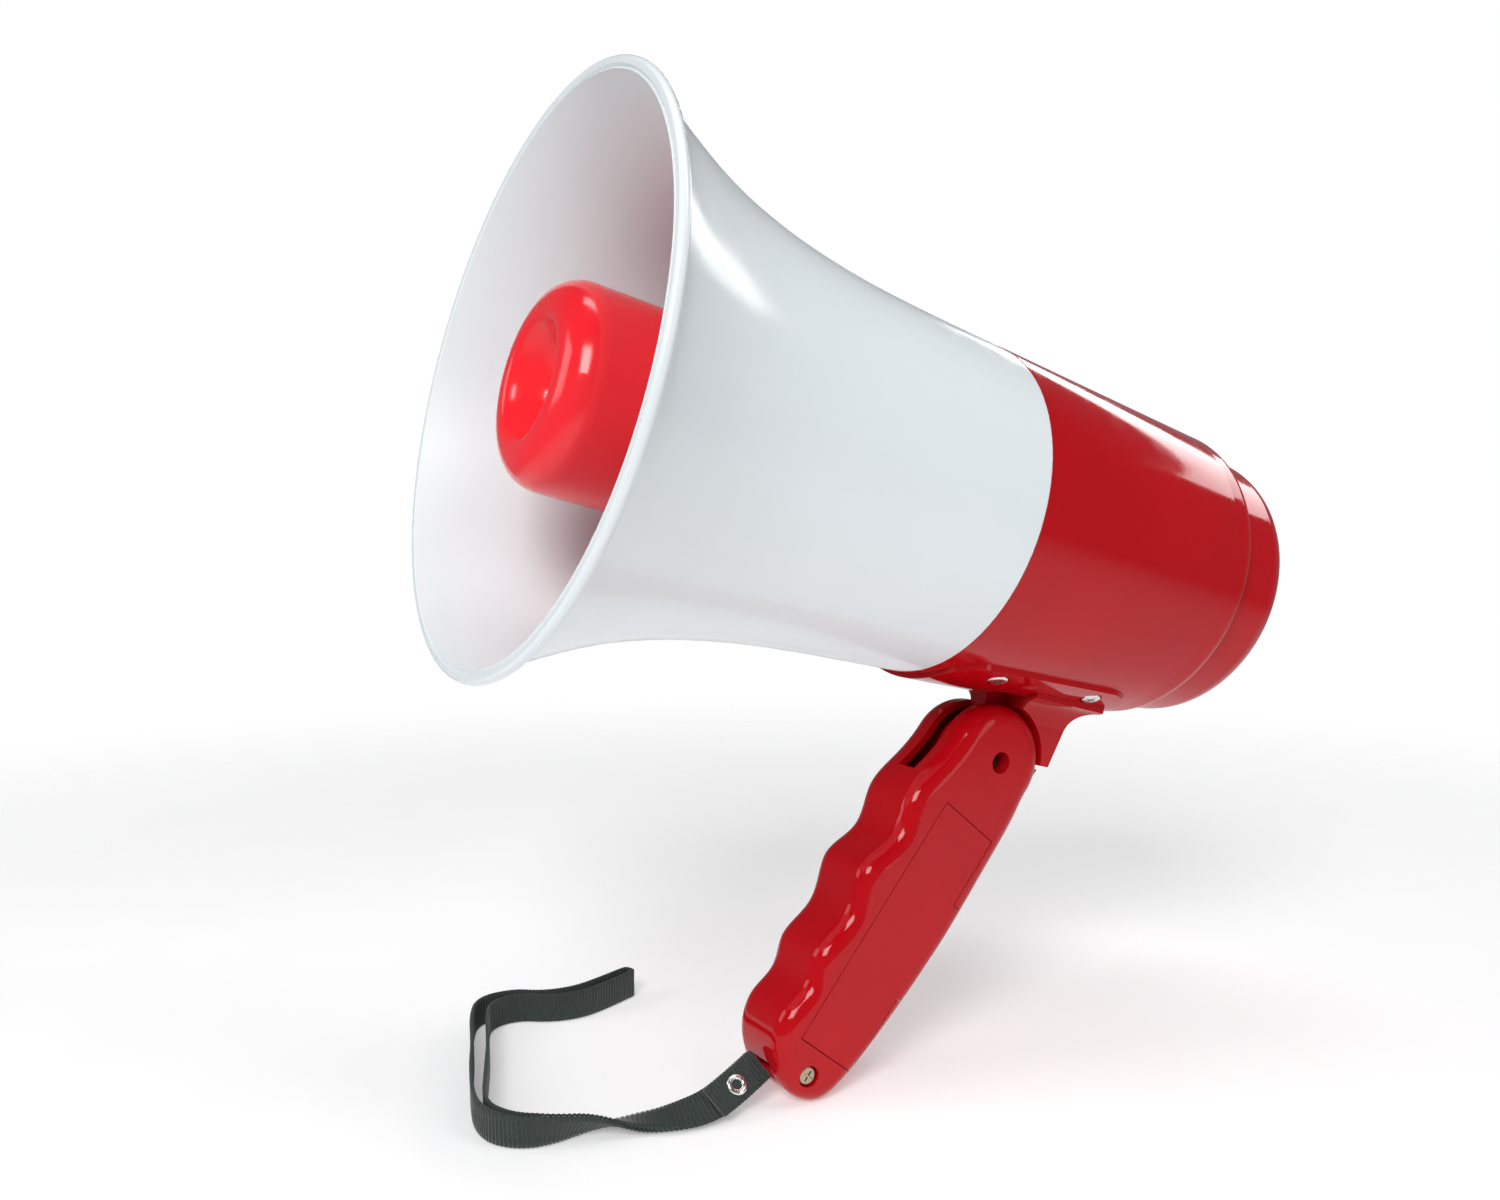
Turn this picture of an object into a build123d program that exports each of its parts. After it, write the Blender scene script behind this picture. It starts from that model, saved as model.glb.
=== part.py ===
from build123d import *
import os
from math import atan2, cos, degrees, hypot, pi, radians, sin, tan

os.makedirs("parts", exist_ok=True)

# Handheld megaphone with a folding pistol grip, millimetres.
#
# Horn frame: origin at the middle of the mouth, +Y along the horn to the rear, +Z up, +X to the
# side that carries the battery cover.
# Handle frame: origin on the fold pivot, -Z down the handle, +Y to its back, +X as above.
# Row frame: the megaphone stands on the end of its handle with the horn tilted up, and the
# origin is on the ground under the middle of its bounding box.

# ---- driving dimensions -------------------------------------------------------------------
HORN_TILT = 14.0            # horn axis above the horizontal, degrees
HANDLE_LEAN = 25.2          # handle forward of the perpendicular to the horn, degrees

MOUTH_RADIUS = 77.5
BELL_WALL = 2.2
LIP_RADIUS = 1.6
LIP_FLAT = 0.15             # depth ground off the lip, which leaves a flat ring to rest on
BELL_LENGTH = 132.0
JOINT_RADIUS = 50.0         # bell and housing at their joint
SPIGOT_RADIUS = 47.3
SPIGOT_LENGTH = 9.0
THROAT_Y = 131.8            # front face of everything that bolts to the throat plate

CUP_RADIUS = 27.0
CUP_LIP_RADIUS = 17.5
CUP_FRONT = 1.5
CUP_REAR = 47.0
CUP_WALL = 2.0
CUP_DIMPLE = 14.5           # depth of the funnel in its front
TUBE_FRONT = 27.0
TUBE_REAR = 126.2
TUBE_WALL = 1.6

SEAM_Y = 213.3              # joint of housing and rear cover
SEAM_RADIUS = 47.7
HOUSING_WALL = 2.2
CAP_RADIUS = 43.5           # raised end of the rear cover
CAP_STEP_Y = 222.8
REAR_Y = 246.0
PANEL_RADIUS = 32.8
PANEL_THICKNESS = 1.4
BOARD_Y = 233.0
BOARD_RADIUS = 37.0
BOARD_THICKNESS = 1.6

PIVOT_Y = 169.6
PIVOT_DROP = 70.7
DOME_RADIUS = 17.5          # top of the handle, round the pivot
DOME_GAP = 0.8
HANDLE_HALF_WIDTH = 13.0
HANDLE_EDGE = 5.5
HANDLE_WALL = 2.2
TONGUE_HALF = 3.4
WASHER_THICKNESS = 0.45
BOLT_RADIUS = 2.0
BORE_CLEARANCE = 0.05

SADDLE_THICKNESS = 1.4      # how far the saddle plate stands proud of the housing
SADDLE_SUNK = 1.0           # how far it is let into the housing
SADDLE_HALF_WIDTH = 25.0
SADDLE_FRONT = 136.0
SADDLE_REAR = 209.0
BOSS_FRONT = 174.5          # front of the block behind the handle's top
FOLD_RELIEF = 21.6          # hollow under the plate for the handle's front to swing through
SADDLE_SCREWS = [(side * 20.0, y) for side in (-1, 1) for y in (155.0, 194.0)]

CELL_RADIUS = 9.2
CELL_LENGTH = 65.0
CELL_TOP = 27.5             # down the handle from the pivot
CELL_BACK = 1.0
COVER_TOP = 21.0
COVER_BOTTOM = 102.5
COVER_FRONT = 9.7
COVER_BACK = 13.2
COVER_TAB = (44.0, 77.0)    # stretch of the cover that wraps round the back
COVER_GAP = 0.25

STRAP_WIDTH = 10.0
STRAP_THICKNESS = 1.2

# Controls on the rear panel, as (x, z) from the horn axis
MIC_AT = (0.0, 13.5)
MIC_RADIUS = 10.5
KNOB_AT = (19.5, -3.0)
KNOB_RADIUS = 8.0
SLIDER_AT = (-19.5, -3.0)
BUTTONS_AT = {"talk": (-10.5, -20.0), "record": (0.0, -22.5), "siren": (10.5, -20.0)}
BUTTON_RADIUS = 4.0
BUTTON_TRAVEL = 1.2
SLIDER_TRAVEL = 3.0
JACK_AT = (-21.0, 13.0)
JACK_BORE = 2.8
LED_AT = (21.0, 13.0)
COVER_SCREW_CIRCLE = 29.0
COVER_SCREW_ANGLES = (90.0, 210.0, 330.0)
POST_Y = 196.0              # front of the housing posts that the cover screws go into

EPS = 0.05                  # gap between faces that only touch

# Outer line of the bell, station from the mouth and radius
BELL_LINE = [(1.4, 75.9), (6.0, 73.0), (15.0, 68.4), (28.0, 62.8), (48.0, 57.0), (73.0, 53.0),
             (100.0, 51.1), (BELL_LENGTH, JOINT_RADIUS)]

# Front of the handle from the pivot down, as (down, forward): slot pad, three finger grooves
HANDLE_FRONT = [(0.0, 17.5), (14.0, 19.4), (26.5, 21.2), (38.5, 18.0), (51.0, 21.6), (66.0, 17.2),
                (80.5, 18.9), (89.0, 16.0), (98.0, 17.3), (108.0, 14.4), (114.5, 7.5)]
HANDLE_END = (117.4, -2.0)
HANDLE_BACK = [(114.5, -10.0), (106.0, -14.0), (85.0, -17.4), (55.0, -19.6), (25.0, -19.2),
               (8.0, -18.3), (0.0, -17.5)]

# ---- helpers ------------------------------------------------------------------------------
def turned(points, axis=Axis.Y):
    """Solid of revolution round Y from (radius, station) corners."""
    return revolve(make_face(Polyline(*points, close=True)), axis=axis)


def ring(outer, inner, front, rear):
    """Plain ring or, with inner 0, a disc, round the horn axis."""
    return turned([(inner, front), (outer, front), (outer, rear), (inner, rear)])


def rod_x(radius, x_from, x_to, y=0.0, z=0.0):
    """Round bar across the megaphone."""
    length = x_to - x_from
    return Pos((x_from + x_to) / 2, y, z) * Rot(0, 90, 0) * Cylinder(radius, length)


def rod_y(radius, y_from, y_to, x=0.0, z=0.0):
    """Round bar along the horn axis."""
    length = y_to - y_from
    return Pos(x, (y_from + y_to) / 2, z) * Rot(90, 0, 0) * Cylinder(radius, length)


def block(x_range, y_range, z_range):
    """Box between two limits on each axis."""
    size = [high - low for low, high in (x_range, y_range, z_range)]
    middle = [(high + low) / 2 for low, high in (x_range, y_range, z_range)]
    return Pos(*middle) * Box(*size)


def inward(points, distance):
    """Move a (station, radius) line towards the axis, square to itself."""
    moved = []
    for index, (station, radius) in enumerate(points):
        before = points[max(index - 1, 0)]
        after = points[min(index + 1, len(points) - 1)]
        run = after[0] - before[0]
        rise = after[1] - before[1]
        length = hypot(run, rise)
        moved.append((station + distance * rise / length, radius - distance * run / length))
    return moved


def recess_cross(radius, depth):
    """Cross-shaped driver recess, open at z = 0 and sunk to -depth."""
    arm = radius * 1.15
    width = radius * 0.36
    bars = Box(2 * arm, width, depth) + Box(width, 2 * arm, depth)
    return Pos(0, 0, -depth / 2) * bars


def pan_screw(head_radius, head_height, shank_radius, shank_length):
    """Pan-head screw with its head above z = 0 and its shank below."""
    head = Pos(0, 0, head_height / 2) * Cylinder(head_radius, head_height)
    head = fillet(head.edges().filter_by(GeomType.CIRCLE).sort_by(Axis.Z)[-1], head_height * 0.55)
    head -= Pos(0, 0, head_height + EPS) * recess_cross(head_radius * 0.5, head_height * 0.6)
    shank = Pos(0, 0, -shank_length / 2) * Cylinder(shank_radius, shank_length)
    return head + shank


def solids_of(shape):
    """The solids of a shape as a plain list."""
    return list(shape.solids())


# ---- horn ---------------------------------------------------------------------------------
def make_bell():
    outer = [(radius, station) for station, radius in BELL_LINE]
    inner = [(radius, station) for station, radius in inward(BELL_LINE, BELL_WALL)]
    inner[-1] = (JOINT_RADIUS - BELL_WALL, BELL_LENGTH)
    edges = [Spline(*outer), Line(outer[-1], inner[-1]), Spline(*reversed(inner)),
             Line(inner[0], outer[0])]
    flare = revolve(make_face(edges), axis=Axis.Y)
    lip = revolve(Pos(MOUTH_RADIUS - LIP_RADIUS, LIP_RADIUS - LIP_FLAT) * Circle(LIP_RADIUS),
                  axis=Axis.Y)
    lip -= ring(MOUTH_RADIUS + 1, MOUTH_RADIUS - 2 * LIP_RADIUS - 1, -1.0, 0.0)
    spigot = turned([(SPIGOT_RADIUS - BELL_WALL, THROAT_Y), (JOINT_RADIUS - 1.0, THROAT_Y),
                     (JOINT_RADIUS - 1.0, BELL_LENGTH), (SPIGOT_RADIUS, BELL_LENGTH),
                     (SPIGOT_RADIUS, BELL_LENGTH + SPIGOT_LENGTH),
                     (SPIGOT_RADIUS - BELL_WALL, BELL_LENGTH + SPIGOT_LENGTH)])
    return flare + lip + spigot


def cup_shape(inset):
    """Reflector cup without its hollow, or with an inset, the hollow itself."""
    radius = CUP_RADIUS - inset
    round_edge = radius - CUP_LIP_RADIUS
    front = CUP_FRONT + inset
    corner = (CUP_LIP_RADIUS + round_edge * cos(pi / 4), front + round_edge * (1 - sin(pi / 4)))
    side = Line((0.0, CUP_REAR), (radius, CUP_REAR)) + Line((radius, CUP_REAR),
                                                            (radius, front + round_edge))
    edge = ThreePointArc((radius, front + round_edge), corner, (CUP_LIP_RADIUS, front))
    funnel = Spline((CUP_LIP_RADIUS, front), (CUP_LIP_RADIUS * 0.8, front + CUP_DIMPLE * 0.16),
                    (CUP_LIP_RADIUS * 0.45, front + CUP_DIMPLE * 0.6), (0.0, front + CUP_DIMPLE),
                    tangents=((-1, 0), (-1, 0)))
    close = Line((0.0, front + CUP_DIMPLE), (0.0, CUP_REAR))
    return revolve(make_face([*side.edges(), edge, funnel, close]), axis=Axis.Y)


def make_cup():
    hollow = cup_shape(CUP_WALL) + ring(CUP_RADIUS - CUP_WALL, 0, CUP_REAR - 1, CUP_REAR + 1)
    return cup_shape(0.0) - hollow


def make_tone_tube():
    front_radius = 13.0
    rear_radius = 8.0
    flange_radius = 30.0
    flange = 2.6
    wall = [(rear_radius, TUBE_REAR + flange), (front_radius, TUBE_FRONT),
            (front_radius + TUBE_WALL, TUBE_FRONT), (rear_radius + TUBE_WALL + 1.5, TUBE_REAR),
            (flange_radius, TUBE_REAR), (flange_radius, TUBE_REAR + flange)]
    tube = turned(wall)
    rib_inner = front_radius
    rib_outer = CUP_RADIUS - CUP_WALL - EPS
    bore = ring(front_radius + TUBE_WALL / 2, 0, TUBE_FRONT, CUP_REAR)
    for angle in (90, 210, 330):
        rib = block((rib_inner, rib_outer), (CUP_REAR - 16, CUP_REAR - 3), (-1.2, 1.2))
        tube += Rot(0, angle, 0) * ((rib - bore) & ring(rib_outer, 0, TUBE_FRONT, CUP_REAR))
    tube -= ring(rear_radius - 0.5, 0, TUBE_FRONT, TUBE_REAR + flange)
    return tube


def make_throat_plate():
    front = TUBE_REAR + 2.6
    plate = ring(JOINT_RADIUS - BELL_WALL - 0.25, 8.0, front, THROAT_Y)
    for x, z in DRIVER_SCREWS:
        plate += rod_y(2.6, THROAT_Y - 0.5, DRIVER_Y, x, z)
        plate -= rod_y(1.1, front + 1, DRIVER_Y + 1, x, z)
    return plate


# ---- driver -------------------------------------------------------------------------------
DRIVER_Y = THROAT_Y + 1.6
TOP_PLATE_Y = DRIVER_Y + 8.0
MAGNET_Y = TOP_PLATE_Y + 4.0
YOKE_Y = MAGNET_Y + 11.0
GAP_OUTER = 13.4
POLE_RADIUS = 12.4
COIL_RADIUS = 13.05


DRIVER_SCREWS = [(33.2 * cos(radians(angle)), 33.2 * sin(radians(angle))) for angle in (45, 135, 225, 315)]


def make_gasket():
    return ring(30.2, 20.0, THROAT_Y, DRIVER_Y)


def make_driver_frame():
    frame = turned([(20.5, DRIVER_Y), (36.0, DRIVER_Y), (36.0, DRIVER_Y + 3), (30.0, DRIVER_Y + 3),
                    (30.0, TOP_PLATE_Y), (17.0, TOP_PLATE_Y), (17.0, TOP_PLATE_Y - 2),
                    (20.5, TOP_PLATE_Y - 3)])
    for x, z in DRIVER_SCREWS:
        frame -= rod_y(1.3, DRIVER_Y - 1, DRIVER_Y + 4, x, z)
    return frame


def make_diaphragm():
    rise = 4.5
    front = DRIVER_Y + 3.2
    dome = Spline((0.0, front - rise + 3), (COIL_RADIUS * 0.6, front - rise + 4.2), (COIL_RADIUS, front + 2))
    back = Spline((COIL_RADIUS, front + 2.4), (COIL_RADIUS * 0.6, front - rise + 4.6),
                  (0.0, front - rise + 3.4))
    face = make_face([dome, Line(dome @ 1, back @ 0), back, Line(back @ 1, dome @ 0)])
    skirt = turned([(COIL_RADIUS - 0.2, front + 1.9), (20.3, DRIVER_Y + 0.6), (20.3, DRIVER_Y + 1.0),
                    (COIL_RADIUS, front + 2.4)])
    return revolve(face, axis=Axis.Y) + skirt


def make_voice_coil():
    return ring(COIL_RADIUS + 0.15, COIL_RADIUS - 0.25, DRIVER_Y + 5.7, MAGNET_Y + 1)


def make_top_plate():
    return ring(28.0, GAP_OUTER, TOP_PLATE_Y, MAGNET_Y)


def make_magnet():
    return ring(30.0, 16.5, MAGNET_Y, YOKE_Y)


def make_yoke():
    plate = ring(28.0, 0, YOKE_Y, YOKE_Y + 4.0)
    return plate + ring(POLE_RADIUS, 0, TOP_PLATE_Y + 0.4, YOKE_Y + 1)


def make_driver_screws():
    screw = Rot(-90, 0, 0) * pan_screw(2.2, 1.6, 1.05, 6.0)
    return [Pos(x, DRIVER_Y + 3.0, z) * screw for x, z in DRIVER_SCREWS]


# ---- housing ------------------------------------------------------------------------------
def housing_radius(station):
    """Outer radius of the housing, which narrows a little to the rear."""
    share = (station - BELL_LENGTH) / (SEAM_Y - BELL_LENGTH)
    return JOINT_RADIUS + 0.15 + share * (SEAM_RADIUS - JOINT_RADIUS - 0.15)


LEAD_HOLE = (0.0, 183.0)    # where the battery lead leaves the housing, x and station


def make_housing():
    front = BELL_LENGTH + EPS
    socket_end = BELL_LENGTH + SPIGOT_LENGTH + 1.0
    rear = SEAM_Y
    shell = turned([(SPIGOT_RADIUS + 0.1, front), (housing_radius(front), front),
                    (housing_radius(rear), rear), (housing_radius(rear) - HOUSING_WALL, rear),
                    (housing_radius(socket_end) - HOUSING_WALL - 0.9, socket_end),
                    (SPIGOT_RADIUS + 0.1, socket_end)])
    for angle in COVER_SCREW_ANGLES:
        place = on_circle(COVER_SCREW_CIRCLE, angle)
        web = Rot(0, -angle, 0) * block((COVER_SCREW_CIRCLE, 46.5), (POST_Y, POST_Y + 10), (-1.5, 1.5))
        post = web + rod_y(3.2, POST_Y, BOARD_Y - EPS, *place)
        shell += post - rod_y(1.15, POST_Y + 8, BOARD_Y, *place)
    shell -= saddle_layer(SADDLE_SUNK, 3.0, 0.1)
    for x, station in SADDLE_SCREWS:
        shell -= radial_hole(x, station, 1.35)
    shell -= rod_z(3.0, -housing_radius(LEAD_HOLE[1]) - 1, -40.0, LEAD_HOLE[0], LEAD_HOLE[1])
    return shell


def rod_z(radius, z_from, z_to, x=0.0, y=0.0):
    """Round bar square to the horn axis."""
    return Pos(x, y, (z_from + z_to) / 2) * Cylinder(radius, z_to - z_from)


def on_circle(radius, angle):
    """Point (x, z) on a circle round the horn axis."""
    return radius * cos(radians(angle)), radius * sin(radians(angle))


def saddle_frame(x, station):
    """Frame on the housing's underside at x, with +Z pointing straight out of it."""
    radius = housing_radius(station) + SADDLE_THICKNESS
    turn = degrees(atan2(x, (radius ** 2 - x ** 2) ** 0.5))
    return Rot(0, -turn, 0) * Pos(0, station, -radius) * Rot(180, 0, 0)


def radial_hole(x, station, radius):
    return saddle_frame(x, station) * Pos(0, 0, -5) * Cylinder(radius, 14)


def cap_outline(inset):
    """Outer line of the rear cover, or its hollow when inset is the wall."""
    band = SEAM_RADIUS - 0.1 - inset
    cap = CAP_RADIUS - inset
    rear = REAR_Y - inset
    step = CAP_STEP_Y - inset
    shoulder = ThreePointArc((band, step - 5.2), (band - 1.2, step - 1.7), (cap + 0.4, step))
    crown = ThreePointArc((cap, rear - 10.5), (cap - 2.6, rear - 3.1), (cap - 9.5, rear))
    return [Line((0.0, SEAM_Y), (band, SEAM_Y)), Line((band, SEAM_Y), (band, step - 5.2)), shoulder,
            Line((cap + 0.4, step), (cap, step + 1.2)), Line((cap, step + 1.2), (cap, rear - 10.5)),
            crown, Line((cap - 9.5, rear), (0.0, rear)), Line((0.0, rear), (0.0, SEAM_Y))]


def make_rear_cover():
    cover = revolve(make_face(cap_outline(0.0)), axis=Axis.Y)
    cover -= revolve(make_face(cap_outline(HOUSING_WALL)), axis=Axis.Y)
    skirt_radius = housing_radius(SEAM_Y) - HOUSING_WALL - 0.2
    cover += ring(skirt_radius, skirt_radius - 1.6, SEAM_Y - 6.0, SEAM_Y + 3.0)
    cover += ring(SEAM_RADIUS - HOUSING_WALL, skirt_radius - 1.6, SEAM_Y, SEAM_Y + 3.0)
    cover -= ring(PANEL_RADIUS + 0.15, 0, REAR_Y - PANEL_THICKNESS, REAR_Y + 1)
    cover -= ring(PANEL_RADIUS - 2.6, 0, REAR_Y - 6.0, REAR_Y)
    for angle in COVER_SCREW_ANGLES:
        x, z = on_circle(COVER_SCREW_CIRCLE, angle)
        post = rod_y(3.0, BOARD_Y + BOARD_THICKNESS + EPS, REAR_Y - PANEL_THICKNESS, x, z)
        cover = (cover + post) - rod_y(1.3, BOARD_Y, REAR_Y, x, z)
    return cover


# ---- rear controls ------------------------------------------------------------------------
def make_panel():
    front = REAR_Y - PANEL_THICKNESS
    panel = ring(PANEL_RADIUS, 0, front, REAR_Y)
    panel -= rod_y(MIC_RADIUS + 0.1, front - 1, REAR_Y + 1, *MIC_AT)
    panel -= rod_y(3.4, front - 1, REAR_Y + 1, *KNOB_AT)
    panel -= rod_y(JACK_BORE + 1.4, front - 1, REAR_Y + 1, *JACK_AT)
    panel -= rod_y(1.6, front - 1, REAR_Y + 1, *LED_AT)
    for place in BUTTONS_AT.values():
        panel -= rod_y(BUTTON_RADIUS + 0.2, front - 1, REAR_Y + 1, *place)
    x, z = SLIDER_AT
    half = 2.2
    reach = 3.2 + SLIDER_TRAVEL / 2
    panel -= block((x - half, x + half), (front - 1, REAR_Y + 1), (z - reach, z + reach))
    for angle in COVER_SCREW_ANGLES:
        panel -= rod_y(1.4, front - 1, REAR_Y + 1, *on_circle(COVER_SCREW_CIRCLE, angle))
    rim_edge = panel.edges().filter_by(GeomType.CIRCLE).sort_by(SortBy.LENGTH)[-1]
    return chamfer(rim_edge, 0.4)


def make_cover_screws():
    """Long screws through the panel, the cover and the board into the housing's posts."""
    screw = Rot(-90, 0, 0) * pan_screw(2.4, 1.4, 1.05, REAR_Y - BOARD_Y + 18.0)
    screws = []
    for angle in COVER_SCREW_ANGLES:
        x, z = on_circle(COVER_SCREW_CIRCLE, angle)
        screws.append(Pos(x, REAR_Y, z) * screw)
    return screws


def make_mic_grille():
    x, z = MIC_AT
    bowl = rod_y(MIC_RADIUS, REAR_Y - 1.2, REAR_Y + 1.0, x, z)
    bowl = fillet(bowl.edges().filter_by(GeomType.CIRCLE).sort_by(Axis.Y)[-1], 0.8)
    bowl -= rod_y(MIC_RADIUS - 1.4, REAR_Y - 1.3, REAR_Y, x, z)
    pitch = 2.7
    holes = []
    for row in range(-3, 4):
        for column in range(-3, 4):
            dx = (column + 0.5 * (row % 2)) * pitch
            dz = row * pitch * 0.866
            if hypot(dx, dz) < MIC_RADIUS - 2.2:
                holes.append(rod_y(0.85, REAR_Y - 1, REAR_Y + 2, x + dx, z + dz))
    return bowl - holes


def make_mic_capsule():
    x, z = MIC_AT
    can = rod_y(4.85, REAR_Y - 9.0, REAR_Y - 2.6, x, z)
    return fillet(can.edges().filter_by(GeomType.CIRCLE), 0.5)


def make_mic_boot():
    x, z = MIC_AT
    boot = rod_y(7.0, REAR_Y - 10.2, REAR_Y - 1.4, x, z)
    return boot - rod_y(4.85, REAR_Y - 9.0, REAR_Y, x, z)


KNOB_FRONT = REAR_Y + 0.4
KNOB_HEIGHT = 5.0
SHAFT_RADIUS = 3.0


def make_volume_knob():
    x, z = KNOB_AT
    knob = rod_y(KNOB_RADIUS, KNOB_FRONT, KNOB_FRONT + KNOB_HEIGHT, x, z)
    knob = fillet(knob.edges().filter_by(GeomType.CIRCLE).sort_by(Axis.Y)[-1], 1.2)
    flutes = []
    for index in range(18):
        angle = radians(index * 20)
        flutes.append(rod_y(0.7, KNOB_FRONT - 1, KNOB_FRONT + KNOB_HEIGHT - 1.6,
                            x + (KNOB_RADIUS + 0.2) * cos(angle), z + (KNOB_RADIUS + 0.2) * sin(angle)))
    knob -= flutes
    knob -= rod_y(SHAFT_RADIUS, KNOB_FRONT - 1, KNOB_FRONT + 3.5, x, z)
    top = KNOB_FRONT + KNOB_HEIGHT
    return knob - block((x - 0.5, x + 0.5), (top - 0.6, top + 1), (z + 2.5, z + 7.0))


def make_pot_shaft():
    return rod_y(SHAFT_RADIUS, BOARD_Y + 6.5, KNOB_FRONT + 3.5, *KNOB_AT)


def make_pot_body():
    x, z = KNOB_AT
    body = block((x - 6.5, x + 6.5), (BOARD_Y + BOARD_THICKNESS, BOARD_Y + 8.5), (z - 6.5, z + 6.5))
    return body - rod_y(SHAFT_RADIUS + BORE_CLEARANCE, BOARD_Y + 6.3, BOARD_Y + 10, x, z)


BUTTON_TOP = REAR_Y + 1.8
SWITCH_TOP = BOARD_Y + BOARD_THICKNESS + 5.0


def make_button(place):
    x, z = place
    cap = rod_y(BUTTON_RADIUS, REAR_Y - 3.0, BUTTON_TOP, x, z)
    cap = fillet(cap.edges().filter_by(GeomType.CIRCLE).sort_by(Axis.Y)[-1], 0.7)
    stem = rod_y(1.6, SWITCH_TOP + BUTTON_TRAVEL + 0.15, REAR_Y - 2.5, x, z)
    return cap + stem


def make_switch(place):
    x, z = place
    body = block((x - 3.0, x + 3.0), (BOARD_Y + BOARD_THICKNESS, SWITCH_TOP - 1.2), (z - 3.0, z + 3.0))
    return body + rod_y(1.7, SWITCH_TOP - 1.3, SWITCH_TOP, x, z)


def make_slider():
    x, z = SLIDER_AT
    z_low = z - SLIDER_TRAVEL / 2
    base = block((x - 3.2, x + 3.2), (REAR_Y - 3.4, REAR_Y - 2.0), (z_low - 4.0, z_low + 4.0))
    grip = block((x - 1.9, x + 1.9), (REAR_Y - 2.5, REAR_Y + 1.6), (z_low - 3.0, z_low + 3.0))
    for step in (-1.5, 0.0, 1.5):
        grip -= block((x - 3, x + 3), (REAR_Y + 1.1, REAR_Y + 2), (z_low + step - 0.3, z_low + step + 0.3))
    return base + grip


def make_slide_switch():
    x, z = SLIDER_AT
    return block((x - 3.4, x + 3.4), (BOARD_Y + BOARD_THICKNESS, REAR_Y - 3.6), (z - 6.5, z + 6.5))


def make_jack():
    x, z = JACK_AT
    barrel = rod_y(JACK_BORE + 1.3, BOARD_Y + BOARD_THICKNESS, REAR_Y + 0.5, x, z)
    barrel -= rod_y(JACK_BORE, REAR_Y - 9.0, REAR_Y + 1, x, z)
    return barrel + rod_y(1.0, REAR_Y - 9.5, REAR_Y - 1.5, x, z)


def make_led():
    x, z = LED_AT
    lens = rod_y(1.5, BOARD_Y + BOARD_THICKNESS, REAR_Y + 0.9, x, z)
    return fillet(lens.edges().filter_by(GeomType.CIRCLE).sort_by(Axis.Y)[-1], 0.8)


# ---- electronics --------------------------------------------------------------------------
def make_board():
    board = ring(BOARD_RADIUS, 0, BOARD_Y, BOARD_Y + BOARD_THICKNESS)
    for angle in COVER_SCREW_ANGLES:
        board -= rod_y(1.4, BOARD_Y - 1, BOARD_Y + 3, *on_circle(COVER_SCREW_CIRCLE, angle))
    return board


def make_heat_sink():
    base = block((-22.0, 2.0), (BOARD_Y - 3.0, BOARD_Y - EPS), (6.0, 20.0))
    for index in range(6):
        x = -21.0 + index * 4.3
        base += block((x, x + 1.4), (BOARD_Y - 12.0, BOARD_Y - 2.5), (6.0, 20.0))
    return base


def make_capacitors():
    cans = []
    for x, z in ((14.0, 14.0), (14.0, -2.0)):
        can = rod_y(5.0, BOARD_Y - 13.0, BOARD_Y - EPS, x, z)
        cans.append(fillet(can.edges().filter_by(GeomType.CIRCLE).sort_by(Axis.Y)[0], 0.8))
    return cans


def make_transformer():
    core = block((-14.0, 4.0), (BOARD_Y - 13.0, BOARD_Y - EPS), (-22.0, -6.0))
    return core - block((-10.5, 0.5), (BOARD_Y - 14.0, BOARD_Y - 9.0), (-23.0, -5.0))


def bent_wire(points, radius, bend):
    """Round wire on straight runs joined by arcs."""
    path = FilletPolyline(*points, radius=bend)
    start = Plane(origin=path @ 0, z_dir=path % 0)
    return sweep(start * Circle(radius), path=path)


def make_speaker_wires():
    wires = []
    for z in (-24.0, -28.0):
        wires.append(bent_wire([(-26.0, BOARD_Y - EPS, z + 4), (-26.0, BOARD_Y - 12, z + 4),
                                (-26.0, BOARD_Y - 34, z), (-14.0, YOKE_Y + 14, z + 9),
                                (-14.0, YOKE_Y + 4 + EPS, z + 9)], 0.7, 4.0))
    return wires


def make_battery_lead():
    x, station = LEAD_HOLE
    return bent_wire([(8.0, BOARD_Y - EPS, -30.0), (8.0, BOARD_Y - 14, -30.0),
                      (4.0, station + 12, -34.0), (x, station, -40.0), (x, station, -52.0)], 1.4, 5.0)


# ---- saddle bracket -----------------------------------------------------------------------
def housing_core():
    """Everything inside the housing's tapered skin, as a tool to trim with."""
    front = SADDLE_FRONT - 30
    rear = SADDLE_REAR + 20
    return turned([(0, front), (housing_radius(front) + EPS, front), (housing_radius(rear) + EPS, rear),
                   (0, rear)])


def saddle_layer(sunk, proud, margin):
    """Curved plate under the housing, from sunk below its skin to proud of it."""
    front = SADDLE_FRONT - 5
    rear = SADDLE_REAR + 5
    layer = turned([(housing_radius(front) - sunk, front), (housing_radius(front) + proud, front),
                    (housing_radius(rear) + proud, rear), (housing_radius(rear) - sunk, rear)])
    middle = (SADDLE_FRONT + SADDLE_REAR) / 2
    outline = RectangleRounded(2 * (SADDLE_HALF_WIDTH + margin), SADDLE_REAR - SADDLE_FRONT + 2 * margin, 11.0)
    return layer & extrude(Pos(0, middle, -70) * outline, 50)


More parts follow.
